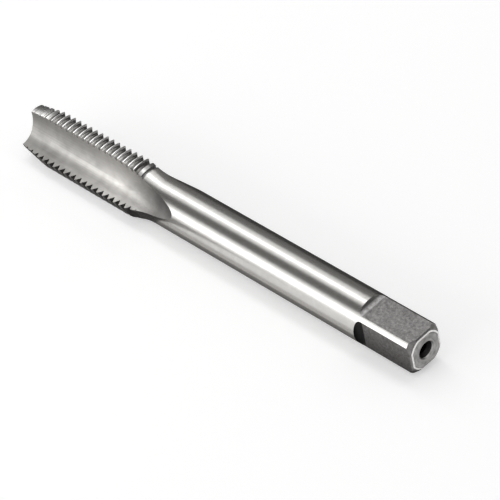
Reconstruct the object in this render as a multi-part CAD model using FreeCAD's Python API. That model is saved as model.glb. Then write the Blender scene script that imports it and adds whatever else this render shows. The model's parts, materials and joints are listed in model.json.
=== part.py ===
import FreeCAD, Part
import math
import os

# Hand and machine tap, 5/16 inch by 24 threads per inch, right-hand, with three straight flutes.
# One piece of tool steel: threaded and fluted head, conical neck, plain shank and square drive end.
# It is drawn standing on its tip, the axis along +Z, and laid down along +X at the end.
# Lengths are in millimetres and angles in degrees.

INCH = 25.4

# Whole tool
TOTAL_LENGTH = 68.0
SHANK_DIAMETER = 6.3

# Thread
THREAD_DIAMETER = 7.94
THREADS_PER_INCH = 24
THREAD_ANGLE = 60.0
CREST_SHARE = 0.125        # flat left on the crests, in pitches
ROOT_SHARE = 0.06          # flat at the roots, in pitches
FULL_THREAD_LENGTH = 20.4  # from the tip to where the full diameter and the full depth end
THREAD_START = 0.64        # turns from the tip to the first groove on the top land
FADE_TURNS = 4.0           # turns in which the groove's root would rise to the full diameter
TIP_DIAMETER = 6.5
CHAMFER_ANGLE = 9.0        # lead taper at the tip, to the axis

# Neck between thread and shank
NECK_ANGLE = 15.5
NECK_BLEND_RADIUS = 9.0

# Flutes
FLUTE_COUNT = 3
WEB_DIAMETER = 2.8         # core left between the flutes
LAND_WIDTH = 34.0          # angle that each land keeps at the crests
FACE_SWEEP = 90.0          # arc of the tight hollow, up to under the cutting face
HEEL_SWEEP = 60.0          # arc of the wide hollow, up to the land's back edge
FLUTE_LEAN = 6.0           # deepest line of a flute, from mid-flute towards the cutting face
FLUTE_LENGTH = 28.5        # from the tip to where the flute leaves the shank
WHEEL_RADIUS = 62.0        # grinding wheel that leaves the flute's run-out

# Square drive
SQUARE_SIDES = 4
SQUARE_ACROSS = 4.9
SQUARE_LENGTH = 7.8
SQUARE_TURN = 6.75         # first flat's normal, from the middle of the top land
SHOULDER_RADIUS = 0.7
EDGE_BEVEL = 0.25          # along the flats' end edges
CORNER_BEVEL = 0.75        # cone that takes off the square's corners, in radius
CORNER_LENGTH = 0.55       # and along the axis

# Centre hole in the drive end
PILOT_DIAMETER = 1.6
PILOT_LENGTH = 2.0         # straight wall, behind the countersink
COUNTERSINK_DIAMETER = 2.4
COUNTERSINK_ANGLE = 60.0
DRILL_POINT_ANGLE = 118.0

# How far cutters reach past what they cut
OVERRUN = 1.0
GROOVE_CLEARANCE = 0.05    # under the play between neighbouring turns
GROOVE_REACH = 0.3         # of the flutes' spacing, to each side of a land's middle
HELIX_STEPS = 6

PITCH = INCH / THREADS_PER_INCH
CREST_RADIUS = THREAD_DIAMETER / 2
SHANK_RADIUS = SHANK_DIAMETER / 2
TIP_RADIUS = TIP_DIAMETER / 2
WEB_RADIUS = WEB_DIAMETER / 2
CREST_FLAT = PITCH * CREST_SHARE
ROOT_FLAT = PITCH * ROOT_SHARE
HALF_THREAD = math.radians(THREAD_ANGLE / 2)
GROOVE_DEPTH = (PITCH - CREST_FLAT - ROOT_FLAT) / 2 / math.tan(HALF_THREAD)
CHAMFER_LENGTH = (CREST_RADIUS - TIP_RADIUS) / math.tan(math.radians(CHAMFER_ANGLE))
NECK_SLOPE = math.tan(math.radians(NECK_ANGLE))
NECK_END = FULL_THREAD_LENGTH + (CREST_RADIUS - SHANK_RADIUS) / NECK_SLOPE
FADE_SLOPE = GROOVE_DEPTH / (FADE_TURNS * PITCH)
THREAD_LENGTH = FULL_THREAD_LENGTH + GROOVE_DEPTH / (FADE_SLOPE + NECK_SLOPE)
FLUTE_SPACING = 360 / FLUTE_COUNT
FACE_ANGLE = math.radians((FLUTE_SPACING - LAND_WIDTH) / 2 - FLUTE_LEAN)
HEEL_ANGLE = math.radians((FLUTE_SPACING - LAND_WIDTH) / 2 + FLUTE_LEAN)

AXIS = FreeCAD.Vector(0, 0, 1)
CENTRE = FreeCAD.Vector(0, 0, 0)


def line(start, end):
    """Straight edge between two points."""
    return Part.LineSegment(start, end).toShape()


def at(radius, height):
    """Point of a turned outline, drawn in the middle of a flute so that no land carries the seam."""
    seam = math.radians(FLUTE_SPACING / 2)
    return FreeCAD.Vector(radius * math.cos(seam), radius * math.sin(seam), height)


def turned_blank():
    """Solid of revolution: lead taper, full diameter, neck with its blend, shank and corner cone."""
    turn = math.radians(NECK_ANGLE)
    tangent = NECK_BLEND_RADIUS * math.tan(turn / 2)
    blend_start = at(SHANK_RADIUS + tangent * math.sin(turn), NECK_END - tangent * math.cos(turn))
    blend_end = at(SHANK_RADIUS, NECK_END + tangent)
    half = turn / 2
    blend_middle = at(
        SHANK_RADIUS + NECK_BLEND_RADIUS * (1 - math.cos(half)),
        NECK_END + tangent - NECK_BLEND_RADIUS * math.sin(half),
    )
    edges = [
        line(at(0, 0), at(TIP_RADIUS, 0)),
        line(at(TIP_RADIUS, 0), at(CREST_RADIUS, CHAMFER_LENGTH)),
        line(at(CREST_RADIUS, CHAMFER_LENGTH), at(CREST_RADIUS, FULL_THREAD_LENGTH)),
        line(at(CREST_RADIUS, FULL_THREAD_LENGTH), blend_start),
        Part.Arc(blend_start, blend_middle, blend_end).toShape(),
        line(blend_end, at(SHANK_RADIUS, TOTAL_LENGTH - CORNER_LENGTH)),
        line(at(SHANK_RADIUS, TOTAL_LENGTH - CORNER_LENGTH), at(SHANK_RADIUS - CORNER_BEVEL, TOTAL_LENGTH)),
        line(at(SHANK_RADIUS - CORNER_BEVEL, TOTAL_LENGTH), at(0, TOTAL_LENGTH)),
        line(at(0, TOTAL_LENGTH), at(0, 0)),
    ]
    outline = Part.Face(Part.Wire(edges))
    return outline.revolve(CENTRE, AXIS, 360)


def helix(radius, height):
    """Stretch of a right-hand helix across one land, at a radius and a height on the land's middle."""
    points = []
    for step in range(HELIX_STEPS + 1):
        angle = math.radians(GROOVE_REACH * FLUTE_SPACING * (2 * step / HELIX_STEPS - 1))
        rise = PITCH * angle / (2 * math.pi)
        points.append(FreeCAD.Vector(radius * math.cos(angle), radius * math.sin(angle), height + rise))
    curve = Part.BSplineCurve()
    curve.interpolate(points)
    return curve.toShape()


def groove_cutter(root, height):
    """Cutter for one turn of the thread groove across the land on +X, its flat root at a radius."""
    top = CREST_RADIUS + GROOVE_CLEARANCE
    half_root = ROOT_FLAT / 2
    half_top = half_root + (top - root) * math.tan(HALF_THREAD)
    corners = [
        helix(root, height - half_root),
        helix(top, height - half_top),
        helix(top, height + half_top),
        helix(root, height + half_root),
    ]
    faces = [Part.makeRuledSurface(corners[index - 1], corners[index]) for index in range(len(corners))]
    for end in (0, -1):
        ring = [corner.Vertexes[end].Point for corner in corners]
        faces.append(Part.Face(Part.makePolygon(ring + ring[:1])))
    cutter = Part.Solid(Part.makeShell(faces))
    if cutter.Volume < 0:
        cutter.reverse()
    return cutter


def groove_root(height):
    """Radius of the groove's root: full depth along the thread, then rising out of the neck."""
    return CREST_RADIUS - GROOVE_DEPTH + FADE_SLOPE * max(0, height - FULL_THREAD_LENGTH)


def thread_grooves():
    """Every turn of the groove on every land, one pitch apart, each land a share of a turn further."""
    grooves = []
    for land in range(FLUTE_COUNT):
        height = PITCH * (THREAD_START + land / FLUTE_COUNT - 1)
        while height < THREAD_LENGTH:
            cutter = groove_cutter(groove_root(height), height)
            cutter.rotate(CENTRE, AXIS, land * FLUTE_SPACING)
            grooves.append(cutter)
            height += PITCH
    return grooves


def hollow_radius(edge_angle):
    """Radius of the arc from the bottom of a flute to a land's edge, level at the bottom."""
    rise = CREST_RADIUS * math.cos(edge_angle) - WEB_RADIUS
    reach = CREST_RADIUS * math.sin(edge_angle)
    return (rise ** 2 + reach ** 2) / (2 * rise)


def hollow_point(radius, angle, side):
    """Point of a flute's arc, at an angle from its bottom, on one side of it."""
    return FreeCAD.Vector(WEB_RADIUS + radius * (1 - math.cos(angle)), side * radius * math.sin(angle), 0)


def hollow(radius, sweep, side):
    """Arc of a flute from its bottom outwards."""
    ends = [hollow_point(radius, math.radians(angle), side) for angle in (0, sweep / 2, sweep)]
    return Part.Arc(*ends).toShape()


def flute_section():
    """Cross-section of a flute, its deepest point on +X: a tight and a wide hollow, tangent."""
    face_radius = hollow_radius(FACE_ANGLE)
    heel_radius = hollow_radius(HEEL_ANGLE)
    face_end = hollow_point(face_radius, math.radians(FACE_SWEEP), 1)
    heel_end = hollow_point(heel_radius, math.radians(HEEL_SWEEP), -1)
    top = max(face_end.x, heel_end.x) + OVERRUN
    face_top = FreeCAD.Vector(top, face_end.y, 0)
    heel_top = FreeCAD.Vector(top, heel_end.y, 0)
    return Part.Face(Part.Wire([
        hollow(face_radius, FACE_SWEEP, 1),
        line(face_end, face_top),
        line(face_top, heel_top),
        line(heel_top, heel_end),
        hollow(heel_radius, HEEL_SWEEP, -1),
    ]))


def flute_cutter():
    """Straight channel from the tip, then the wheel's own round as it rises out of the shank."""
    rise = SHANK_RADIUS - WEB_RADIUS
    run_out = math.sqrt(2 * WHEEL_RADIUS * rise - rise ** 2)
    full_depth = FLUTE_LENGTH - run_out
    section = flute_section()
    section.translate(FreeCAD.Vector(0, 0, -OVERRUN))
    channel = section.extrude(FreeCAD.Vector(0, 0, full_depth + OVERRUN))
    section.translate(FreeCAD.Vector(0, 0, full_depth + OVERRUN))
    wheel_axis = FreeCAD.Vector(WEB_RADIUS + WHEEL_RADIUS, 0, full_depth)
    lift = math.degrees(math.acos(1 - (CREST_RADIUS - WEB_RADIUS + OVERRUN) / WHEEL_RADIUS))
    wheel = section.revolve(wheel_axis, FreeCAD.Vector(0, 1, 0), lift)
    return channel.fuse(wheel)


def flat_cutter():
    """Cutter for one flat of the square, on +X: rounded shoulder, flat and bevelled end edge."""
    flat = SQUARE_ACROSS / 2
    shoulder = TOTAL_LENGTH - SQUARE_LENGTH
    outside = SHANK_RADIUS + OVERRUN
    end = TOTAL_LENGTH + OVERRUN
    diagonal = SHOULDER_RADIUS * math.sqrt(0.5)
    round_top = FreeCAD.Vector(flat + SHOULDER_RADIUS, 0, shoulder - SHOULDER_RADIUS)
    round_middle = FreeCAD.Vector(
        flat + SHOULDER_RADIUS - diagonal, 0, shoulder - diagonal
    )
    round_foot = FreeCAD.Vector(flat, 0, shoulder)
    bevel_start = FreeCAD.Vector(flat, 0, TOTAL_LENGTH - EDGE_BEVEL)
    bevel_end = FreeCAD.Vector(flat - EDGE_BEVEL - OVERRUN, 0, end)
    face = Part.Face(Part.Wire([
        Part.Arc(round_top, round_middle, round_foot).toShape(),
        line(round_foot, bevel_start),
        line(bevel_start, bevel_end),
        line(bevel_end, FreeCAD.Vector(outside, 0, end)),
        line(FreeCAD.Vector(outside, 0, end), FreeCAD.Vector(outside, 0, round_top.z)),
        line(FreeCAD.Vector(outside, 0, round_top.z), round_top),
    ]))
    face.translate(FreeCAD.Vector(0, -outside, 0))
    return face.extrude(FreeCAD.Vector(0, 2 * outside, 0))


def centre_hole():
    """Countersink, pilot and drill point in the drive end."""
    pilot = PILOT_DIAMETER / 2
    mouth = COUNTERSINK_DIAMETER / 2
    slope = math.tan(math.radians(COUNTERSINK_ANGLE / 2))
    sink = (mouth - pilot) / slope
    point = pilot / math.tan(math.radians(DRILL_POINT_ANGLE / 2))
    top = TOTAL_LENGTH + OVERRUN
    outline = Part.makePolygon([
        at(0, top),
        at(mouth + OVERRUN * slope, top),
        at(pilot, TOTAL_LENGTH - sink),
        at(pilot, TOTAL_LENGTH - sink - PILOT_LENGTH),
        at(0, TOTAL_LENGTH - sink - PILOT_LENGTH - point),
        at(0, top),
    ])
    return Part.Face(outline).revolve(CENTRE, AXIS, 360)


def around(shape, count, first):
    """Copies of a cutter, evenly spaced about the axis from the first angle."""
    copies = []
    for index in range(count):
        copy = shape.copy()
        copy.rotate(CENTRE, AXIS, first + index * 360 / count)
        copies.append(copy)
    return copies


def thread_tap():
    """The whole tool, standing on its tip."""
    tool = turned_blank()
    tool = tool.cut(thread_grooves())
    tool = tool.cut(around(flute_cutter(), FLUTE_COUNT, FLUTE_SPACING / 2 + FLUTE_LEAN))
    tool = tool.cut(around(flat_cutter(), SQUARE_SIDES, SQUARE_TURN))
    return tool.cut(centre_hole())


def laid_down(tool):
    """The tool at rest on its shank, axis along +X, drive end to +X and one land on top."""
    tool.rotate(CENTRE, FreeCAD.Vector(1, 0, 1), 180)
    tool.translate(FreeCAD.Vector(-TOTAL_LENGTH / 2, 0, SHANK_RADIUS))
    return tool


os.makedirs("parts", exist_ok=True)
tap = laid_down(thread_tap())
tap.exportStep("parts/thread_tap.step")
print("solids", len(tap.Solids), "faces", len(tap.Faces), "valid", tap.isValid())
print("volume", round(tap.Volume, 2), "box", tap.BoundBox)
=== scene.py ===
import json
import logging
import math
from dataclasses import dataclass, field
from enum import Enum
from typing import Sequence

import bpy
import numpy as np
from bpy.types import Material, Mesh, Node, NodeOutputs, NodeSocket, NodeTree, Object
from mathutils import Matrix, Vector

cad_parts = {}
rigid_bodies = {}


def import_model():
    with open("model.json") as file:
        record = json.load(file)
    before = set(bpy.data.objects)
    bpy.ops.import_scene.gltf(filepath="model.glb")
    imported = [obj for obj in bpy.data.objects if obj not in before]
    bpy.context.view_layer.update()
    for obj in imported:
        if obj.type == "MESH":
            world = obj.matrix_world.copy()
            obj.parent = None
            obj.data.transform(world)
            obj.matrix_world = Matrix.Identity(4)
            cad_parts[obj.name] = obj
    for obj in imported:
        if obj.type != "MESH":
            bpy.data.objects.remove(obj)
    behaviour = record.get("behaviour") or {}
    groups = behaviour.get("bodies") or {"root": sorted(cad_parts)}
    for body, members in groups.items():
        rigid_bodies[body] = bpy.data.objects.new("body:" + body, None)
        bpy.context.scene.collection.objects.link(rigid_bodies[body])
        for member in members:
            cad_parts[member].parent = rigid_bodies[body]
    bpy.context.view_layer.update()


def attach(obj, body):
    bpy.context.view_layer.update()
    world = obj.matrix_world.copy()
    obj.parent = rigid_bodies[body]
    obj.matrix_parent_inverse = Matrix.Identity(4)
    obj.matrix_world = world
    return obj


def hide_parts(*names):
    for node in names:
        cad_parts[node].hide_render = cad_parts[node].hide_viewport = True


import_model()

LOG = logging.getLogger("thread_tap")
MM = 0.001

Pair = tuple[float, float]
Triple = tuple[float, float, float]
Ring = Sequence[Pair]
Faces = list[tuple[int, ...]]
Socket = NodeSocket
WHITE = (1.0, 1.0, 1.0, 1.0)


class Region(Enum):
    """Surfaces of the tap, each with its own finish. The value is the number kept on the faces."""

    THREAD = 1
    FLUTE = 2
    SHANK = 3
    SQUARE = 4
    END = 5
    RIM = 6
    HOLE = 7
    SHOULDER = 8
    CORNER = 9


def tan(angle: float) -> float:
    """Tangent of an angle in degrees."""
    return math.tan(math.radians(angle))


@dataclass(frozen=True)
class TapSizes:
    """Sizes of the whole tool in millimetres and degrees, measured along its axis from the tip."""

    length: float = 68.0
    shank_radius: float = 3.15
    crest_radius: float = 3.97
    pitch: float = 25.4 / 24
    full_thread_length: float = 20.4
    thread_start: float = 0.64
    fade_turns: float = 16.0
    half_thread_angle: float = 30.0
    crest_share: float = 0.125
    root_share: float = 0.06
    groove_clearance: float = 0.05
    tip_radius: float = 3.25
    chamfer_angle: float = 9.0
    neck_angle: float = 15.5
    neck_blend: float = 9.0
    flutes: int = 3
    web_radius: float = 1.4
    land_width: float = 34.0
    flute_lean: float = 6.0
    flute_length: float = 28.5
    wheel_radius: float = 62.0
    face_sweep: float = 90.0
    heel_sweep: float = 60.0
    sides: int = 4
    half_square: float = 2.45
    square_length: float = 7.8
    square_turn: float = 6.75
    shoulder_radius: float = 0.7
    # Length of the strip by the shoulder that gets the corner finish and its painted shade.
    scale_length: float = 0.28
    edge_bevel: float = 0.25
    corner_bevel: float = 0.75
    corner_length: float = 0.55
    rim_length: float = 0.07
    rim_angle: float = 20.0
    pilot_radius: float = 0.8
    pilot_length: float = 2.0
    sink_radius: float = 1.2
    # Radius out to which the countersink takes the near-black hole finish, which is painted shade.
    shade_radius: float = 1.09
    sink_angle: float = 30.0
    drill_angle: float = 59.0
    overrun: float = 1.0

    @property
    def groove_depth(self) -> float:
        """Depth of the thread from crest to root."""
        slope = tan(self.half_thread_angle)
        return self.pitch * (1 - self.crest_share - self.root_share) / 2 / slope

    @property
    def fade_end(self) -> float:
        """Height where the groove's root would reach the crests. It leaves the neck before."""
        return self.full_thread_length + self.fade_turns * self.pitch

    @property
    def thread_end(self) -> float:
        """Height where the groove has left the neck, with half a turn to spare."""
        rise = self.groove_depth / (self.fade_turns * self.pitch)
        meeting = self.groove_depth / (rise + tan(self.neck_angle))
        return self.full_thread_length + meeting + self.pitch / 2

    @property
    def chamfer_length(self) -> float:
        """Length of the lead taper at the tip."""
        return (self.crest_radius - self.tip_radius) / tan(self.chamfer_angle)

    @property
    def neck_end(self) -> float:
        """Height where the neck's cone meets the shank."""
        fall = self.crest_radius - self.shank_radius
        return self.full_thread_length + fall / tan(self.neck_angle)

    @property
    def rim_width(self) -> float:
        """Width of the rim of wear that lies almost flat around the end face."""
        return self.rim_length / tan(self.rim_angle)

    @property
    def spacing(self) -> float:
        """Angle from one flute to the next."""
        return 360 / self.flutes

    def laid_down(self) -> Matrix:
        """From standing on the tip, in millimetres, to lying along +X in the frame, in metres."""
        half, lift = self.length / 2, self.shank_radius
        lay = Matrix(((0, 0, 1, -half), (0, -1, 0, 0), (1, 0, 0, lift), (0, 0, 0, 1)))
        return Matrix.Scale(MM, 4) @ lay


class Graph:
    """Short way to add and wire the nodes of one tree."""

    def __init__(self, tree: NodeTree) -> None:
        """Wrap a tree.

        Args:
            tree: the node tree that gets the nodes.
        """
        self.tree = tree

    def add(self, kind: str, inputs: dict | None = None, **settings: object) -> Node:
        """Add a node, set its options and fill or link its inputs.

        Args:
            kind: the node's type name.
            inputs: socket name or number, with a value or the socket that feeds it.
            settings: the node's own options, such as operation.

        Returns:
            The new node.
        """
        node = self.tree.nodes.new(kind)
        for option, choice in settings.items():
            setattr(node, option, choice)
        for key, source in (inputs or {}).items():
            self.feed(node.inputs[key], source)
        return node

    def out(self, kind: str, inputs: dict | None = None, **settings: object) -> Socket:
        """Add a node in the same way, and give its first output."""
        return self.add(kind, inputs, **settings).outputs[0]

    def feed(self, socket: Socket, source: object) -> None:
        """Link a socket to its source, or give it a value.

        Args:
            socket: the input to fill.
            source: an output socket or a plain value.
        """
        if isinstance(source, Socket):
            self.tree.links.new(source, socket)
        else:
            socket.default_value = source

    def math(self, operation: str, *terms: object) -> Socket:
        """Add a Math node.

        Args:
            operation: the sum to do, as Blender names it.
            terms: its inputs in order, each a value or a socket.

        Returns:
            The result's socket.
        """
        return self.out("ShaderNodeMath", dict(enumerate(terms)), operation=operation)

    def hypot(self, first: Socket, second: Socket) -> Socket:
        """Add the nodes for the length of a vector with two parts at right angles."""
        squares = [self.math("MULTIPLY", part, part) for part in (first, second)]
        return self.math("SQRT", self.math("ADD", *squares))

    def apart(self, vector: Socket) -> NodeOutputs:
        """Add a node that splits a vector into X, Y and Z."""
        return self.add("ShaderNodeSeparateXYZ", {0: vector}).outputs

    def ramp(self, value: Socket, low: float, high: float, first: object = 0.0,
             last: object = 1.0) -> Socket:
        """Add a Map Range node that holds its results outside the range.

        Args:
            value: what is mapped.
            low: the value that gives the first result.
            high: the value that gives the last result.
            first: the first result.
            last: the last result.

        Returns:
            The result's socket.
        """
        return self.out("ShaderNodeMapRange", {
            "Value": value, "From Min": low, "From Max": high, "To Min": first, "To Max": last})

    def mix(self, share: object, first: object, second: object, colours: bool = False) -> Socket:
        """Add a Mix node. Its sockets go by number, because several share a name.

        Args:
            share: how much of the second is in the result.
            first: a number or colour, or its socket.
            second: what is mixed in.
            colours: whether colours are mixed instead of numbers.

        Returns:
            The result's socket.
        """
        if colours:
            inputs = {0: share, 6: first, 7: second}
            return self.add("ShaderNodeMix", inputs, data_type="RGBA").outputs[2]
        return self.out("ShaderNodeMix", {0: share, 2: first, 3: second}, data_type="FLOAT")

    def arrange(self, columns: int = 9, across: int = 220, down: int = 260) -> None:
        """Place the nodes in rows, in the order that they were made."""
        for index, node in enumerate(self.tree.nodes):
            node.location = (across * (index % columns), -down * (index // columns))


def empty_tree(name: str, kind: str, inputs: dict[str, Sequence[str]],
               outputs: dict[str, Sequence[str]]) -> Graph:
    """Make a node group that has its sockets and no nodes.

    Args:
        name: the group's name.
        kind: Shader or Geometry.
        inputs: the names of its inputs, by the kind of socket.
        outputs: the names of its outputs, in the same way.

    Returns:
        The group's tree, wrapped.
    """
    tree = bpy.data.node_groups.new(name, kind + "NodeTree")
    for way, sockets in (("INPUT", inputs), ("OUTPUT", outputs)):
        for sort, names in sockets.items():
            for socket in names:
                tree.interface.new_socket(socket, in_out=way, socket_type="NodeSocket" + sort)
    return Graph(tree)


def empty_material(name: str) -> tuple[Material, Graph]:
    """Make a material with no nodes.

    Args:
        name: the material's name.

    Returns:
        The material, and its tree wrapped.
    """
    made = bpy.data.materials.new(name)
    made.use_nodes = True
    made.node_tree.nodes.clear()
    return made, Graph(made.node_tree)


def solid_mesh(name: str, points: np.ndarray, faces: Faces,
               regions: list[Region]) -> Mesh:
    """Make a mesh whose faces carry the number of their region.

    Args:
        name: the mesh's name.
        points: one row for each corner.
        faces: corner numbers of each face, seen from outside in anticlockwise order.
        regions: one region for each face.

    Returns:
        The mesh.
    """
    mesh = bpy.data.meshes.new(name)
    mesh.from_pydata([tuple(point) for point in points], [], faces)
    kept = mesh.attributes.new("region", "INT", "FACE")
    kept.data.foreach_set("value", [region.value for region in regions])
    mesh.update()
    return mesh


def turned_mesh(name: str, outline: Ring, regions: list[Region], segments: int) -> Mesh:
    """Turn an outline about +Z into a closed solid. Its first and last points lie on the axis.

    Args:
        name: the mesh's name.
        outline: radius and height of each point, from the bottom upwards.
        regions: one region for each stretch of the outline.
        segments: faces around the axis.

    Returns:
        The mesh.
    """
    angles = np.arange(segments) * 2 * math.pi / segments
    points = [(0.0, 0.0, outline[0][1])]
    for radius, height in outline[1:-1]:
        points += [(radius * math.cos(a), radius * math.sin(a), height) for a in angles]
    points.append((0.0, 0.0, outline[-1][1]))
    last = len(points) - 1
    faces: Faces = []
    marks: list[Region] = []
    for stretch, region in enumerate(regions):
        low, high = 1 + (stretch - 1) * segments, 1 + stretch * segments
        for index in range(segments):
            after = (index + 1) % segments
            if stretch == 0:
                faces.append((0, high + after, high + index))
            elif stretch == len(regions) - 1:
                faces.append((low + index, low + after, last))
            else:
                faces.append((low + index, low + after, high + after, high + index))
            marks.append(region)
    return solid_mesh(name, np.array(points), faces, marks)


def swept_mesh(name: str, sections: np.ndarray, regions: list[Region]) -> Mesh:
    """Join equal closed sections into a solid with a flat cap at each end.

    Args:
        name: the mesh's name.
        sections: section, point and coordinate. Seen against the sweep the points go anticlockwise.
        regions: one region for each stretch of the section.

    Returns:
        The mesh.
    """
    rows, count, _ = sections.shape
    faces: Faces = []
    marks: list[Region] = []
    for row in range(rows - 1):
        for index in range(count):
            after = (index + 1) % count
            low, high = row * count, (row + 1) * count
            faces.append((low + index, low + after, high + after, high + index))
            marks.append(regions[index])
    faces.append(tuple(range(count))[::-1])
    faces.append(tuple((rows - 1) * count + index for index in range(count)))
    return solid_mesh(name, sections.reshape(-1, 3), faces, marks + [regions[0]] * 2)


def arc(centre: Pair, radius: float, start: float, end: float, steps: int) -> Ring:
    """Points along an arc.

    Args:
        centre: the arc's centre.
        radius: its radius.
        start: angle of its first point in degrees.
        end: angle of its last point in degrees.
        steps: number of stretches.

    Returns:
        The points, with both ends.
    """
    angles = [math.radians(start + (end - start) * step / steps) for step in range(steps + 1)]
    return [(centre[0] + radius * math.cos(a), centre[1] + radius * math.sin(a)) for a in angles]


def working_object(data: bpy.types.ID) -> Object:
    """Put a mesh, lamp or camera in the scene as an object of its own name."""
    piece = bpy.data.objects.new(data.name, data)
    bpy.context.scene.collection.objects.link(piece)
    return piece


@dataclass
class TapBody:
    """The whole tap as one closed mesh: a turned blank, and everything that is ground out of it."""

    sizes: TapSizes
    segments: int = 240
    drill_segments: int = 80
    shank_step: float = 1.5
    blend_steps: int = 8
    hollow_steps: int = 28
    wheel_steps: int = 36
    shoulder_steps: int = 8
    groove_steps: int = 96
    groove_lead: int = 2
    smooth_angle: float = 9.0

    def blank(self) -> Object:
        """Turn the blank: tip, lead taper, thread diameter, neck, shank and corner cone.

        Returns:
            The blank as an object.
        """
        s = self.sizes
        tangent = s.neck_blend * tan(s.neck_angle / 2)
        blend_top = s.neck_end + tangent
        shank_end = s.length - s.corner_length
        outline: list[Pair] = [(0.0, 0.0), (s.tip_radius, 0.0)]
        outline += [(s.crest_radius, s.chamfer_length), (s.crest_radius, s.full_thread_length)]
        regions = [Region.END, Region.THREAD, Region.THREAD]
        centre = (s.shank_radius + s.neck_blend, blend_top)
        outline += arc(centre, s.neck_blend, 180 + s.neck_angle, 180, self.blend_steps)
        regions += [Region.THREAD] + [Region.SHANK] * self.blend_steps
        rows = round((shank_end - blend_top) / self.shank_step)
        for row in range(1, rows + 1):
            outline.append((s.shank_radius, blend_top + (shank_end - blend_top) * row / rows))
            regions.append(Region.SHANK)
        cone_end = s.shank_radius - s.corner_bevel * (1 - s.rim_length / s.corner_length)
        outline += [(cone_end, s.length - s.rim_length), (cone_end - s.rim_width, s.length)]
        outline.append((0.0, s.length))
        regions += [Region.SQUARE, Region.RIM, Region.END]
        return working_object(turned_mesh("blank", outline, regions, self.segments))

    def hollow(self, edge_angle: float) -> float:
        """Radius of a flute's arc from its bottom, where it is level, to a land's edge.

        Args:
            edge_angle: angle of the land's edge from the flute's deepest line, in degrees.

        Returns:
            The arc's radius.
        """
        s = self.sizes
        rise = s.crest_radius * math.cos(math.radians(edge_angle)) - s.web_radius
        reach = s.crest_radius * math.sin(math.radians(edge_angle))
        return (rise**2 + reach**2) / (2 * rise)

    def flute_wheel(self) -> Object:
        """Cutter for one flute: a straight channel, then the wheel's round as it leaves the shank.

        Returns:
            The cutter as an object, its deepest line on +X.
        """
        s = self.sizes
        open_angle = (s.spacing - s.land_width) / 2
        face = self.hollow(open_angle - s.flute_lean)
        heel = self.hollow(open_angle + s.flute_lean)
        steps = self.hollow_steps
        heel_side = arc((s.web_radius + heel, 0.0), heel, 180 + s.heel_sweep, 180, steps)
        face_side = arc((s.web_radius + face, 0.0), face, 180, 180 - s.face_sweep, steps)
        top = max(heel_side[0][0], face_side[-1][0]) + s.overrun
        section = [(top, heel_side[0][1])] + heel_side + face_side[1:] + [(top, face_side[-1][1])]
        rise = s.shank_radius - s.web_radius
        depth_end = s.flute_length - math.sqrt(2 * s.wheel_radius * rise - rise**2)
        lift = math.acos(1 - (s.crest_radius - s.web_radius + s.overrun) / s.wheel_radius)
        stations = [(-s.overrun, 0.0), (depth_end / 2, 0.0)]
        turns = [lift * step / self.wheel_steps for step in range(self.wheel_steps + 1)]
        stations += [(depth_end, turn) for turn in turns]
        sections = []
        for height, turn in stations:
            rise, fore = 1 - math.cos(turn), math.sin(turn)
            arms = [s.web_radius + s.wheel_radius - out for out, _ in section]
            row = [(out + arm * rise, across, height + arm * fore)
                   for (out, across), arm in zip(section, arms)]
            sections.append(row[::-1])
        regions = [Region.FLUTE] * len(section)
        return working_object(swept_mesh("flute_wheel", np.array(sections), regions))

    def square_cutter(self) -> Object:
        """Cutter for one flat of the square: shoulder, flat, bevelled end edge and rim of wear.

        Returns:
            The cutter as an object, its flat on +X.
        """
        s = self.sizes
        outside = s.shank_radius + s.overrun
        shoulder = s.length - s.square_length
        centre = (s.half_square + s.shoulder_radius, shoulder)
        profile = [(outside, shoulder - s.shoulder_radius)]
        profile += arc(centre, s.shoulder_radius, 270, 180, self.shoulder_steps)
        bevel_end = s.half_square - s.edge_bevel + s.rim_length
        reach = s.rim_width * (1 + s.overrun / s.rim_length)
        top = s.length + s.overrun
        profile += [(s.half_square, shoulder + s.scale_length)]
        profile += [(s.half_square, s.length - s.edge_bevel), (bevel_end, s.length - s.rim_length)]
        profile += [(bevel_end - reach, top), (outside, top)]
        regions = [Region.SHOULDER] * (self.shoulder_steps + 1) + [Region.CORNER]
        regions += [Region.SQUARE] * 2 + [Region.RIM] + [Region.SQUARE] * 2
        sides = (-outside, outside)
        sections = [[(out, side, height) for out, height in profile] for side in sides]
        return working_object(swept_mesh("square_cutter", np.array(sections), regions))

    def centre_drill(self) -> Object:
        """Cutter for the hole in the drive end: countersink, pilot and drill point.

        Returns:
            The cutter as an object.
        """
        s = self.sizes
        slope = tan(s.sink_angle)
        foot = s.length - (s.sink_radius - s.pilot_radius) / slope
        bottom = foot - s.pilot_length
        point = bottom - s.pilot_radius / tan(s.drill_angle)
        top = s.length + s.overrun
        shade_height = foot + (s.shade_radius - s.pilot_radius) / slope
        outline = [(0.0, point), (s.pilot_radius, bottom), (s.pilot_radius, foot)]
        outline += [(s.shade_radius, shade_height), (s.sink_radius + s.overrun * slope, top), (0.0, top)]
        # Painted shade: the pilot and the inner countersink take the near-black hole finish.
        regions = [Region.HOLE] * 3 + [Region.END] * 2
        return working_object(turned_mesh("centre_drill", outline, regions, self.drill_segments))

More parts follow.
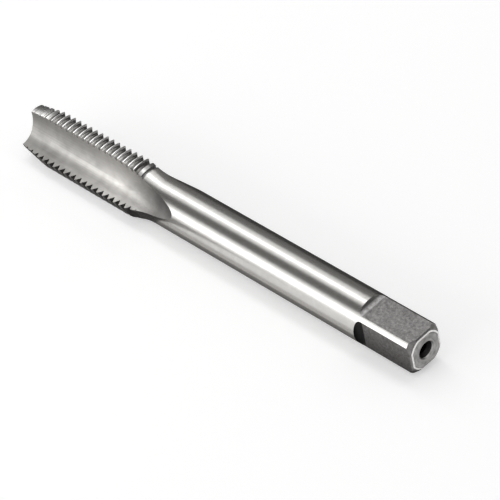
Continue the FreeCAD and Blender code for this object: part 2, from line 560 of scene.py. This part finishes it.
    def grinding_tree(self) -> NodeTree:
        """Geometry nodes that cut thread, flutes, square and centre hole out of the blank.

        Returns:
            The tree, with its sizes, cutters and materials as named inputs.
        """
        g = empty_tree("grind_tap", "Geometry", {
            "Geometry": ("Geometry",),
            "Object": ("Flute wheel", "Square cutter", "Centre drill"),
            "Int": ("Flutes", "Sides", "Steps in a turn"),
            "Float": (
                "Flute turn", "Square turn", "Pitch", "Turns", "Groove start", "Root radius",
                "Groove height", "Root width", "Mouth width", "Fade start", "Fade end", "Depth"),
            "Material": [region.name.capitalize() for region in Region],
        }, {"Geometry": ("Geometry",)})
        g.tree.is_modifier = True
        given = g.add("NodeGroupInput").outputs
        drill = g.add("GeometryNodeObjectInfo", {"Object": given["Centre drill"]})
        cutters = [
            self.groove_nodes(g, given),
            self.around_nodes(g, given["Flute wheel"], given["Flutes"], given["Flute turn"]),
            self.around_nodes(g, given["Square cutter"], given["Sides"], given["Square turn"]),
            drill.outputs["Geometry"],
        ]
        solid = given["Geometry"]
        for cutter in cutters:
            solid = g.add("GeometryNodeMeshBoolean", {"Mesh 1": solid, "Mesh 2": cutter},
                          operation="DIFFERENCE", solver="MANIFOLD").outputs["Mesh"]
        solid = g.out("GeometryNodeRealizeInstances", {"Geometry": solid})
        mark = g.out("GeometryNodeInputNamedAttribute", {"Name": "region"}, data_type="INT")
        for region in Region:
            here = g.out("FunctionNodeCompare", {2: mark, 3: region.value},
                         data_type="INT", operation="EQUAL")
            solid = g.out("GeometryNodeSetMaterial", {
                "Geometry": solid, "Selection": here, "Material": given[region.name.capitalize()]})
        g.add("NodeGroupOutput", {"Geometry": solid})
        g.arrange()
        return g.tree

    def groove_nodes(self, g: Graph, given: NodeOutputs) -> Socket:
        """Thread groove: a trapezoid swept along a right-hand spiral that rises out at its end.

        Args:
            g: the tree being built.
            given: the tree's inputs.

        Returns:
            The groove cutter's socket.
        """
        height = g.math("MULTIPLY", given["Pitch"], given["Turns"])
        spiral = g.out("GeometryNodeCurveSpiral", {
            "Resolution": given["Steps in a turn"], "Rotations": given["Turns"],
            "Start Radius": given["Root radius"], "End Radius": given["Root radius"],
            "Height": height, "Reverse": True})
        shift = g.out("ShaderNodeCombineXYZ", {"Z": given["Groove start"]})
        spiral = g.out("GeometryNodeTransform", {"Geometry": spiral, "Translation": shift})
        place = g.out("GeometryNodeInputPosition")
        risen = g.ramp(g.apart(place)["Z"], given["Fade start"], given["Fade end"],
                       0.0, given["Depth"])
        grown = g.math("ADD", g.math("DIVIDE", risen, given["Root radius"]), 1.0)
        wide = g.out("ShaderNodeCombineXYZ", {"X": grown, "Y": grown, "Z": 1.0})
        moved = g.out("ShaderNodeVectorMath", {0: place, 1: wide}, operation="MULTIPLY")
        spiral = g.out("GeometryNodeSetPosition", {"Geometry": spiral, "Position": moved})
        spiral = g.out("GeometryNodeSetCurveNormal", {"Curve": spiral}, mode="Z_UP")
        profile = g.out("GeometryNodeCurvePrimitiveQuadrilateral", {
            "Height": given["Groove height"], "Bottom Width": given["Root width"],
            "Top Width": given["Mouth width"], "Offset": 0.0}, mode="TRAPEZOID")
        half = g.math("DIVIDE", given["Groove height"], 2.0)
        lift = g.out("ShaderNodeCombineXYZ", {"X": half})
        profile = g.out("GeometryNodeTransform", {
            "Geometry": profile, "Translation": lift,
            "Rotation": (0.0, 0.0, -math.pi / 2)})
        swept = g.out("GeometryNodeCurveToMesh", {
            "Curve": spiral, "Profile Curve": profile, "Fill Caps": True})
        return g.out("GeometryNodeStoreNamedAttribute", {
            "Geometry": swept, "Name": "region", "Value": Region.THREAD.value},
            data_type="INT", domain="FACE")

    def around_nodes(self, g: Graph, cutter: Socket, count: Socket, turn: Socket) -> Socket:
        """Copies of a cutter, evenly spaced about the axis.

        Args:
            g: the tree being built.
            cutter: socket of the cutter's object.
            count: socket of the number of copies.
            turn: socket of the first copy's angle in radians.

        Returns:
            The copies' socket.
        """
        shape = g.add("GeometryNodeObjectInfo", {"Object": cutter}).outputs["Geometry"]
        spots = g.out("GeometryNodeMeshLine", {"Count": count, "Offset": (0.0, 0.0, 0.0)})
        index = g.out("GeometryNodeInputIndex")
        step = g.math("DIVIDE", math.tau, count)
        angle = g.math("ADD", g.math("MULTIPLY", index, step), turn)
        facing = g.out("FunctionNodeAxisAngleToRotation", {"Axis": (0.0, 0.0, 1.0), "Angle": angle})
        copies = g.out("GeometryNodeInstanceOnPoints", {
            "Points": spots, "Instance": shape, "Rotation": facing})
        return g.out("GeometryNodeRealizeInstances", {"Geometry": copies})

    @staticmethod
    def drop_empty_slot(mesh: Mesh) -> None:
        """Take out the slot of the bare blank, which no face uses.

        Args:
            mesh: the cut mesh.
        """
        numbers = np.zeros(len(mesh.polygons), dtype=np.int32)
        mesh.polygons.foreach_get("material_index", numbers)
        kept = [material for material in mesh.materials if material]
        mesh.materials.clear()
        for material in kept:
            mesh.materials.append(material)
        mesh.polygons.foreach_set("material_index", numbers - 1)

    def build(self, finishes: dict[Region, Material]) -> Object:
        """Cut the tap, lay it down in the frame and smooth its faces.

        Args:
            finishes: the material of each region.

        Returns:
            The finished tap.
        """
        s = self.sizes
        blank = self.blank()
        tree = self.grinding_tree()
        slope = tan(s.half_thread_angle)
        root_width = s.pitch * s.root_share
        groove_height = s.groove_depth + s.groove_clearance
        start = s.pitch * (s.thread_start - self.groove_lead)
        cutters = {
            "Flute wheel": self.flute_wheel(), "Square cutter": self.square_cutter(),
            "Centre drill": self.centre_drill(),
        }
        values: dict[str, object] = {
            "Flutes": s.flutes, "Sides": s.sides, "Steps in a turn": self.groove_steps,
            "Flute turn": math.radians(s.spacing / 2 + s.flute_lean),
            "Square turn": math.radians(s.square_turn),
            "Pitch": s.pitch, "Turns": (s.thread_end - start) / s.pitch, "Groove start": start,
            "Root radius": s.crest_radius - s.groove_depth, "Groove height": groove_height,
            "Root width": root_width, "Mouth width": root_width + 2 * groove_height * slope,
            "Fade start": s.full_thread_length, "Fade end": s.fade_end, "Depth": s.groove_depth,
        }
        values |= cutters
        values |= {region.name.capitalize(): finish for region, finish in finishes.items()}
        grind = blank.modifiers.new("grind", "NODES")
        grind.node_group = tree
        for item in tree.interface.items_tree:
            if item.in_out == "INPUT" and item.name in values:
                grind[item.identifier] = values[item.name]
        bpy.context.view_layer.update()
        evaluated = blank.evaluated_get(bpy.context.evaluated_depsgraph_get())
        mesh = bpy.data.meshes.new_from_object(evaluated)
        blank.modifiers.remove(grind)
        for helper in (blank, *cutters.values()):
            bpy.data.objects.remove(helper)
        mesh.name = "tap_body"
        self.drop_empty_slot(mesh)
        mesh.transform(s.laid_down())
        mesh.shade_smooth()
        mesh.set_sharp_from_angle(angle=math.radians(self.smooth_angle))
        tap = working_object(mesh)
        LOG.info("tap body: %d faces, %d corners", len(mesh.polygons), len(mesh.vertices))
        return tap


class Marks(Enum):
    """Ways in which a grinding wheel or a lathe tool leaves its lines."""

    ALONG = "along"
    AROUND = "around"
    RINGS = "rings"
    PEENED = "peened"


def on_the_tap(g: Graph, place: Socket) -> tuple[Socket, Socket, Socket]:
    """Find where a point lies on the tap.

    Args:
        g: the tree being built.
        place: socket of the point in the frame.

    Returns:
        Sockets of its distance from the tip along the axis, and from the axis to +Y and upwards.
    """
    sizes = TapSizes()
    parts = g.apart(place)
    along = g.math("ADD", parts["X"], sizes.length / 2 * MM)
    return along, parts["Y"], g.math("SUBTRACT", parts["Z"], sizes.shank_radius * MM)


@dataclass(frozen=True)
class Shade:
    """A factor that goes from 1 to its own share between two places or angles."""

    start: float
    end: float
    share: float

    def factor(self, g: Graph, value: Socket, unit: float) -> Socket:
        """Add the nodes of the factor, with the unit that start and end are written in."""
        return g.ramp(value, self.start * unit, self.end * unit, 1.0, self.share)


@dataclass(frozen=True)
class Lines:
    """Lines that a tool leaves: the way they run, and their width, length and depth."""

    kind: Marks
    width: float
    length: float
    depth: float


@dataclass
class Look:
    """A material's look while its nodes are being made."""

    g: Graph
    place: Socket
    colour: Socket
    rough: Socket


@dataclass(frozen=True)
class SteelFinish:
    """One finish of the steel: its colours, how rough it is and the lines left on it."""

    name: str
    light: Triple
    dark: Triple
    roughness: float
    spread: float
    lines: Lines
    blotch_size: float
    blotch_share: float = 0.5
    brushed: float = 0.0

    def material(self, groups: "SharedGroups") -> Material:
        """Make the material.

        Args:
            groups: the node groups that the finishes share.

        Returns:
            The material.
        """
        made, g = empty_material(self.name)
        place = g.add("ShaderNodeTexCoord").outputs["Object"]
        height = g.out("ShaderNodeGroup", {
            "Place": place, "Width": self.lines.width * MM, "Length": self.lines.length * MM,
        }, node_tree=groups.marks[self.lines.kind])
        tone = g.add("ShaderNodeGroup", {
            "Place": place, "Marks": height,
            "Light": (*self.light, 1.0), "Dark": (*self.dark, 1.0),
            "Blotch size": self.blotch_size * MM, "Blotch share": self.blotch_share,
            "Roughness": self.roughness, "Spread": self.spread,
        }, node_tree=groups.tone).outputs
        look = Look(g, place, tone["Colour"], tone["Roughness"])
        self.wear_and_painted_light(look)
        bump = g.out("ShaderNodeBump", {
            "Strength": 1.0, "Distance": self.lines.depth * MM, "Height": height})
        steel = g.add("ShaderNodeBsdfPrincipled", {
            "Base Color": look.colour, "Roughness": look.rough, "Metallic": 1.0,
            "Normal": bump, "Anisotropic": self.brushed})
        if self.brushed:
            around = g.out("ShaderNodeTangent", direction_type="RADIAL", axis="X")
            g.feed(steel.inputs["Tangent"], around)
        g.add("ShaderNodeOutputMaterial", {"Surface": steel.outputs[0]})
        g.arrange()
        return made

    def wear_and_painted_light(self, look: Look) -> None:
        """Leave the plain steel as it is. Other finishes paint highlights and shade, and some wear,
        into its look from place to place.
        """


@dataclass(frozen=True)
class SideShadedFinish(SteelFinish):
    """Steel with painted shade, nearly black, on the front and back flats, which lie furthest out
    sideways.
    """

    side_shade: Triple = (0.03, 0.03, 0.03)
    shade_reach: float = 2.22
    shade_blur: float = 0.04

    def wear_and_painted_light(self, look: Look) -> None:
        """Paint shade on what lies further out sideways than the shade's reach.

        Args:
            look: the plain look, which is changed.
        """
        g = look.g
        # Painted shade: darkens the front and back sides nearly to black.
        sideways = g.math("ABSOLUTE", g.apart(look.place)["Y"])
        inner, outer = self.shade_reach - self.shade_blur, self.shade_reach + self.shade_blur
        side_shaded = g.ramp(sideways, inner * MM, outer * MM)
        look.colour = g.mix(side_shaded, look.colour, (*self.side_shade, 1.0), colours=True)


@dataclass(frozen=True)
class FluteFinish(SteelFinish):
    """Ground hollow with painted light: a painted highlight that fades in along it, and painted
    shade at the run-out and the edge.

    Places along the flute are in millimetres from the tip, and angles in degrees from its deepest
    line towards the next land.
    """

    # Painted highlight fading in along the flute, painted shade at the run-out and towards the
    # land's edge, and a painted highlight band.
    painted_brightening: Shade = Shade(8.0, 18.0, 1.30)
    run_out_shade: Shade = Shade(17.6, 25.8, 0.28)
    edge: Shade = Shade(27.0, 40.0, 0.60)
    highlight_gain: float = 0.36
    highlight_across: Pair = (8.0, 22.0)
    highlight_along: Pair = (2.0, 12.0)

    def wear_and_painted_light(self, look: Look) -> None:
        """Paint highlight and shade into the colour along and across the flute.

        Args:
            look: the plain look, which is changed.
        """
        g, s = look.g, TapSizes()
        along, side, up = on_the_tap(g, look.place)
        half, degree = math.radians(s.spacing / 2), math.radians(1)
        around = g.math("ARCTAN2", g.math("MULTIPLY", side, -1.0), up)
        turn = g.math("SUBTRACT", around, half + math.radians(s.flute_lean))
        turn = g.math("WRAP", turn, half, -half)
        # Painted highlight: a brighter band across and along the hollow.
        across = g.ramp(turn, *(angle * degree for angle in self.highlight_across))
        onward = g.ramp(along, *(distance * MM for distance in self.highlight_along))
        highlight = g.math("MULTIPLY", across, onward)
        factor = g.math("MULTIPLY_ADD", highlight, self.highlight_gain, 1.0)
        for shade, value, unit in ((self.painted_brightening, along, MM), (self.run_out_shade, along, MM),
                                   (self.edge, turn, degree)):
            factor = g.math("MULTIPLY", factor, shade.factor(g, value, unit))
        look.colour = g.out("ShaderNodeVectorMath", {0: look.colour, "Scale": factor},
                            operation="SCALE")


@dataclass(frozen=True)
class ThreadFinish(SteelFinish):
    """Thread whose crests carry a painted highlight, partly wear from rubbing, over darker grooves,
    dimmed by painted shade at the tip and neck.
    """

    # Colour and roughness of the crest highlight, which is painted and partly wear from rubbing.
    crest: Triple = (0.98, 0.975, 0.96)
    crest_roughness: float = 0.30
    crest_depth: float = 0.12
    groove_depth: float = 0.23
    tip_share: float = 0.30
    tip_reach: Pair = (0.8, 3.4)
    neck_share: float = 0.15
    neck_blur: float = 0.4

    def wear_and_painted_light(self, look: Look) -> None:
        """Paint a highlight, partly wear from rubbing, on what lies near the blank's own surface:
        lead taper, full diameter or neck.

        Args:
            look: the plain look, which is changed.
        """
        g, s = look.g, TapSizes()
        along, side, up = on_the_tap(g, look.place)
        rise = tan(s.chamfer_angle)
        fall = tan(s.neck_angle)
        neck_foot = s.crest_radius + fall * s.full_thread_length
        taper = g.math("MULTIPLY_ADD", along, rise, s.tip_radius * MM)
        neck = g.math("MULTIPLY_ADD", along, -fall, neck_foot * MM)
        surface = g.math("MINIMUM", g.math("MINIMUM", taper, neck), s.crest_radius * MM)
        depth = g.math("SUBTRACT", surface, g.hypot(side, up))
        near = Shade(self.crest_depth, self.groove_depth, 0.0).factor(g, depth, MM)
        # Painted shade: the crest highlight dims past the full thread and towards the tip.
        thread_end = Shade(s.full_thread_length - self.neck_blur,
                           s.full_thread_length + self.neck_blur, self.neck_share)
        tip = g.ramp(along, *(distance * MM for distance in self.tip_reach), self.tip_share, 1.0)
        kept = g.math("MULTIPLY", thread_end.factor(g, along, MM), tip)
        rubbed_and_highlit = g.math("MULTIPLY", near, kept)
        look.colour = g.mix(rubbed_and_highlit, look.colour, (*self.crest, 1.0), colours=True)
        look.rough = g.mix(rubbed_and_highlit, look.rough, self.crest_roughness)


@dataclass
class SharedGroups:
    """Shader node groups that the steel finishes share."""

    axis_height: float
    line_detail: float = 3.0
    line_roughness: float = 0.6
    ring_turns: float = 0.6
    blotch_detail: float = 4.0
    blotch_roughness: float = 0.55
    darkest: float = 0.35
    lightest: float = 0.65
    marks: dict[Marks, NodeTree] = field(init=False)
    tone: NodeTree = field(init=False)

    def __post_init__(self) -> None:
        """Make every group."""
        self.marks = {kind: self.marks_group(kind) for kind in Marks}
        self.tone = self.tone_group()

    def marks_group(self, kind: Marks) -> NodeTree:
        """Fine lines or grains, as a height from 0 to 1.

        Args:
            kind: which way the lines run.

        Returns:
            The group.
        """
        g = empty_tree(
            "marks_" + kind.value, "Shader",
            {"Vector": ("Place",), "Float": ("Width", "Length")}, {"Float": ("Height",)})
        given = g.add("NodeGroupInput").outputs
        lift = (0.0, 0.0, -self.axis_height)
        centred = g.out("ShaderNodeVectorMath", {0: given["Place"], 1: lift}, operation="ADD")
        parts = g.apart(centred)
        fine = g.math("DIVIDE", 1.0, given["Width"])
        slow = g.math("DIVIDE", 1.0, given["Length"])
        if kind is Marks.RINGS:
            out = g.hypot(parts["Y"], parts["Z"])
            turn = g.math("ARCTAN2", parts["Y"], parts["Z"])
            stretched = {"X": g.math("MULTIPLY", out, fine),
                         "Y": g.math("MULTIPLY", turn, self.ring_turns), "Z": 0.0}
        else:
            along = slow if kind is Marks.ALONG else fine
            across = slow if kind is Marks.AROUND else fine
            stretched = {axis: g.math("MULTIPLY", parts[axis], along if axis == "X" else across)
                         for axis in "XYZ"}
        place = g.out("ShaderNodeCombineXYZ", stretched)
        noise = g.out("ShaderNodeTexNoise", {
            "Vector": place, "Scale": 1.0,
            "Detail": self.line_detail, "Roughness": self.line_roughness})
        g.add("NodeGroupOutput", {"Height": noise})
        g.arrange()
        return g.tree

    def tone_group(self) -> NodeTree:
        """Colour and roughness of the steel, from its lines and from soft blotches.

        Returns:
            The group.
        """
        g = empty_tree("steel_tone", "Shader", {
            "Vector": ("Place",), "Color": ("Light", "Dark"),
            "Float": ("Marks", "Blotch size", "Blotch share", "Roughness", "Spread"),
        }, {"Color": ("Colour",), "Float": ("Roughness",)})
        given = g.add("NodeGroupInput").outputs
        blotch = g.out("ShaderNodeTexNoise", {
            "Vector": given["Place"], "Scale": g.math("DIVIDE", 1.0, given["Blotch size"]),
            "Detail": self.blotch_detail, "Roughness": self.blotch_roughness})
        mixed = g.mix(given["Blotch share"], given["Marks"], blotch)
        mask = g.ramp(mixed, self.darkest, self.lightest)
        colour = g.mix(mask, given["Dark"], given["Light"], colours=True)
        swing = g.math("MULTIPLY", g.math("SUBTRACT", 0.5, mask), given["Spread"])
        rough = g.math("ADD", given["Roughness"], swing)
        g.add("NodeGroupOutput", {"Colour": colour, "Roughness": rough})
        g.arrange()
        return g.tree


FINISHES: dict[Region, SteelFinish] = {
    Region.THREAD: ThreadFinish(
        "ground_thread", light=(0.38, 0.376, 0.368), dark=(0.26, 0.257, 0.251), roughness=0.18,
        spread=0.08, lines=Lines(Marks.AROUND, 0.05, 1.2, 0.0015), blotch_size=0.6),
    Region.FLUTE: FluteFinish(
        "satin_flute", light=(0.60, 0.587, 0.565), dark=(0.43, 0.418, 0.40), roughness=0.48,
        spread=0.10, lines=Lines(Marks.ALONG, 0.06, 9.0, 0.006), blotch_size=1.6, brushed=0.7),
    Region.SHANK: SteelFinish(
        "ground_shank", light=(0.64, 0.63, 0.61), dark=(0.55, 0.54, 0.52), roughness=0.24,
        spread=0.06, lines=Lines(Marks.AROUND, 0.04, 1.6, 0.0012), blotch_size=1.6),
    Region.SQUARE: SteelFinish(
        "milled_square", light=(0.31, 0.302, 0.297), dark=(0.115, 0.112, 0.111), roughness=0.45,
        spread=0.20, lines=Lines(Marks.PEENED, 0.10, 0.10, 0.008), blotch_size=0.35),
    Region.END: SteelFinish(
        "faced_end", light=(0.42, 0.415, 0.406), dark=(0.13, 0.127, 0.125), roughness=0.36,
        spread=0.16, lines=Lines(Marks.RINGS, 0.11, 1.0, 0.010), blotch_size=0.9),
    # Rim: its light colour is partly edge wear and partly a painted highlight.
    Region.RIM: SteelFinish(
        "worn_rim", light=(0.88, 0.87, 0.85), dark=(0.62, 0.61, 0.60), roughness=0.25,
        spread=0.10, lines=Lines(Marks.PEENED, 0.15, 0.15, 0.004), blotch_size=0.4),
    # Painted shade: the hole's near-black colour stands in for the shade inside it, also on the
    # countersink.
    Region.HOLE: SteelFinish(
        "drilled_hole", light=(0.03, 0.03, 0.03), dark=(0.012, 0.012, 0.012), roughness=0.45,
        spread=0.15, lines=Lines(Marks.AROUND, 0.08, 0.8, 0.006), blotch_size=0.5),
    # Shoulder and corner strip: steel with painted shade on the front and back sides.
    Region.SHOULDER: SideShadedFinish(
        "scaled_shoulder", light=(0.46, 0.455, 0.45), dark=(0.20, 0.197, 0.195), roughness=0.42,
        spread=0.16, lines=Lines(Marks.PEENED, 0.12, 0.12, 0.008), blotch_size=0.4),
    Region.CORNER: SideShadedFinish(
        "scaled_corner", light=(0.30, 0.291, 0.286), dark=(0.10, 0.097, 0.096), roughness=0.45,
        spread=0.20, lines=Lines(Marks.PEENED, 0.10, 0.10, 0.008), blotch_size=0.35),
}

# Where the panels stand, in metres: the long ones, the upright ones and the pile on the floor.
LEVEL_MIDDLE = -0.53
LEVEL_LENGTH = 1.26
END_DISTANCE = 0.35
CARD_STEP = 0.0001
PAST_END = (1.0, 0.0, 0.0)
DOWN = (0.0, 0.0, -1.0)
STEEP = 0.7


@dataclass(frozen=True)
class Panel:
    """A flat panel near the tap: a soft lamp, or a card that only mirror images show.

    Its face looks against `away`. Sizes are in metres, and a brightness of 1 is white.
    """

    name: str
    centre: Triple
    away: Triple
    length: float
    width: float
    brightness: float

    @classmethod
    def beside(cls, name: str, bearing: float, width: float, distance: float,
               brightness: float) -> "Panel":
        """Make a long level panel, set to where the steel mirrors it to the camera.

        Args:
            name: the panel's name.
            bearing: its direction from the axis, from straight up towards -Y, in degrees.
            width: its size across.
            distance: how far it is from the axis.
            brightness: its own light, 1 being white.

        Returns:
            The panel.
        """
        turn = math.radians(bearing)
        away = (0.0, -math.sin(turn), math.cos(turn))
        centre = (LEVEL_MIDDLE, away[1] * distance, away[2] * distance)
        return cls(name, centre, away, LEVEL_LENGTH, width, brightness)

    def place(self) -> Matrix:
        """Turn the panel's face towards the tap, with its length level.

        Returns:
            The panel's place.
        """
        away = Vector(self.away).normalized()
        level = Vector((0.0, 1.0, 0.0)) if abs(away.x) > STEEP else Vector((1.0, 0.0, 0.0))
        across = away.cross(level).normalized()
        axes = Matrix((across.cross(away), across, away)).transposed()
        return Matrix.Translation(self.centre) @ axes.to_4x4()


@dataclass
class Studio:
    """Floor, light and the camera at the photograph's viewing angle."""

    target: Triple = (0.00240, 0.00232, 0.0)
    distance: float = 0.30614
    azimuth: float = -40.29
    elevation: float = 38.65
    roll: float = 6.375
    lens: float = 180.0
    sensor: float = 36.0
    clip: Pair = (0.01, 20.0)
    floor_size: float = 4.0
    floor_colour: Triple = (0.86, 0.86, 0.86)
    floor_roughness: float = 0.8
    floor_shine: float = 0.2
    floor_glow: float = 0.39
    world_light: float = 0.5
    world_glow: float = 0.5
    card_colour: Triple = (1.0, 0.98, 0.96)
    lamps: tuple[Panel, ...] = (
        Panel.beside("top_lamp", -10.4, 0.091, 0.36, 1.72),
        Panel.beside("front_lamp", 71.5, 0.172, 0.36, 1.44),
    )
    cards: tuple[Panel, ...] = (
        Panel.beside("top_card", 29.0, 0.19, 0.30, 0.14),
        Panel.beside("back_card", -60.0, 0.24, 0.30, 0.18),
        Panel.beside("low_back_card", -98.0, 0.20, 0.30, 0.04),
        Panel("flank_card", (END_DISTANCE, 0.25, 0.155), PAST_END, 0.62, 0.31, 0.09),
        Panel("bevel_card", (END_DISTANCE, 0.28, 0.365), PAST_END, 0.20, 0.11, 0.03),
        Panel("facet_card", (END_DISTANCE, -0.26, 0.100), PAST_END, 0.16, 0.14, 0.03),
        Panel("back_floor_card", (-0.283, 0.15, CARD_STEP), DOWN, 0.634, 0.30, 0.05),
        # Painted shadow: dark sheets on the floor by the tap that only reflections show, standing
        # in for the floor's shadow there.
        Panel("inner_floor_card", (-0.083, -0.0012, CARD_STEP), DOWN, 0.234, 0.0024, 0.03),
        Panel("middle_floor_card", (-0.083, -0.0033, CARD_STEP), DOWN, 0.234, 0.0018, 0.18),
        Panel("outer_floor_card", (-0.083, -0.0056, CARD_STEP), DOWN, 0.234, 0.0028, 0.60),
        Panel("near_thread_card", (-0.105, -0.004, 2 * CARD_STEP), DOWN, 0.190, 0.008, 0.06),
        Panel("far_thread_card", (-0.105, -0.029, 2 * CARD_STEP), DOWN, 0.190, 0.042, 0.28),
    )

    def camera(self) -> None:
        """Make the camera and aim it."""
        turn, lift = math.radians(self.azimuth), math.radians(self.elevation)
        level = Vector((math.cos(turn), math.sin(turn), 0.0))
        back = level * math.cos(lift) + Vector((0.0, 0.0, math.sin(lift)))
        right = Vector((0.0, 0.0, 1.0)).cross(back).normalized()
        up = back.cross(right)
        lean = math.radians(self.roll)
        top = up * math.cos(lean) + right * math.sin(lean)
        side = right * math.cos(lean) - up * math.sin(lean)
        eye = Vector(self.target) + back * self.distance
        data = bpy.data.cameras.new("camera")
        data.lens = self.lens
        data.sensor_width = self.sensor
        data.clip_start, data.clip_end = self.clip
        body = working_object(data)
        axes = Matrix((side, top, back)).transposed()
        body.matrix_world = Matrix.Translation(eye) @ axes.to_4x4()
        bpy.context.scene.camera = body

    def floor(self) -> None:
        """Lay the pale floor that keeps the tap's shadow."""
        mesh = self.flat_mesh("floor", self.floor_size, self.floor_size)
        made, g = empty_material("pale_floor")
        paint = g.out("ShaderNodeBsdfPrincipled", {
            "Base Color": (*self.floor_colour, 1.0), "Roughness": self.floor_roughness,
            "Specular IOR Level": self.floor_shine, "Emission Color": WHITE,
            "Emission Strength": g.math("MULTIPLY", self.seen(g), self.floor_glow)})
        g.add("ShaderNodeOutputMaterial", {"Surface": paint})
        mesh.materials.append(made)
        floor = working_object(mesh)

    @staticmethod
    def flat_mesh(name: str, length: float, width: float) -> Mesh:
        """Make a level rectangle about the origin, facing up.

        Args:
            name: the mesh's name.
            length: its size along X.
            width: its size along Y.

        Returns:
            The mesh.
        """
        x, y = length / 2, width / 2
        mesh = bpy.data.meshes.new(name)
        mesh.from_pydata([(-x, -y, 0), (x, -y, 0), (x, y, 0), (-x, y, 0)], [], [(0, 1, 2, 3)])
        return mesh

    @staticmethod
    def seen(g: Graph) -> Socket:
        """Tell what is seen from the light that falls on other things.

        Args:
            g: the tree being built.

        Returns:
            Socket of 1 for the camera, mirror images and glass, and otherwise 0.
        """
        path = g.add("ShaderNodeLightPath").outputs
        shown = g.math("MAXIMUM", path["Is Camera Ray"], path["Is Glossy Ray"])
        return g.math("MAXIMUM", shown, path["Is Transmission Ray"])

    def world(self) -> None:
        """White surroundings, which look brighter than the light that they give."""
        world = bpy.data.worlds.new("surroundings")
        world.use_nodes = True
        world.node_tree.nodes.clear()
        g = Graph(world.node_tree)
        strength = g.math("MULTIPLY_ADD", self.seen(g), self.world_glow, self.world_light)
        light = g.out("ShaderNodeBackground", {"Color": WHITE, "Strength": strength})
        g.add("ShaderNodeOutputWorld", {"Surface": light})
        bpy.context.scene.world = world

    def lamp(self, panel: Panel) -> None:
        """Hang one soft lamp.

        Args:
            panel: its size, place and brightness.
        """
        data = bpy.data.lights.new(panel.name, "AREA")
        data.shape = "RECTANGLE"
        data.size, data.size_y = panel.length, panel.width
        data.energy = panel.brightness * math.pi * panel.length * panel.width
        lamp = working_object(data)
        lamp.matrix_world = panel.place()
        lamp.visible_camera = False

    def card(self, panel: Panel) -> None:
        """Stand one card where only mirror images show it.

        Args:
            panel: its size, place and brightness.
        """
        mesh = self.flat_mesh(panel.name, panel.length, panel.width)
        mesh.transform(panel.place())
        made, g = empty_material(panel.name)
        grey = g.out("ShaderNodeEmission", {
            "Color": (*self.card_colour, 1.0), "Strength": panel.brightness})
        g.add("ShaderNodeOutputMaterial", {"Surface": grey})
        mesh.materials.append(made)
        card = working_object(mesh)
        card.visible_camera = False
        card.visible_diffuse = False
        card.visible_shadow = False

    def build(self) -> None:
        """Set up the whole studio."""
        self.camera()
        self.floor()
        self.world()
        for panel in self.lamps:
            self.lamp(panel)
        for panel in self.cards:
            self.card(panel)
        bpy.context.scene.view_settings.view_transform = "Standard"


def main() -> None:
    """Build the tap and its studio, and hand the tap over to the frame."""
    logging.basicConfig(level=logging.INFO, format="%(name)s: %(message)s")
    sizes = TapSizes()
    Studio().build()
    groups = SharedGroups(sizes.shank_radius * MM)
    finishes = {region: finish.material(groups) for region, finish in FINISHES.items()}
    tap = TapBody(sizes).build(finishes)
    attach(tap, "root")
    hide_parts("thread_tap")
    LOG.info("thread tap: one piece on the root body")


if __name__ == "__main__":
    main()
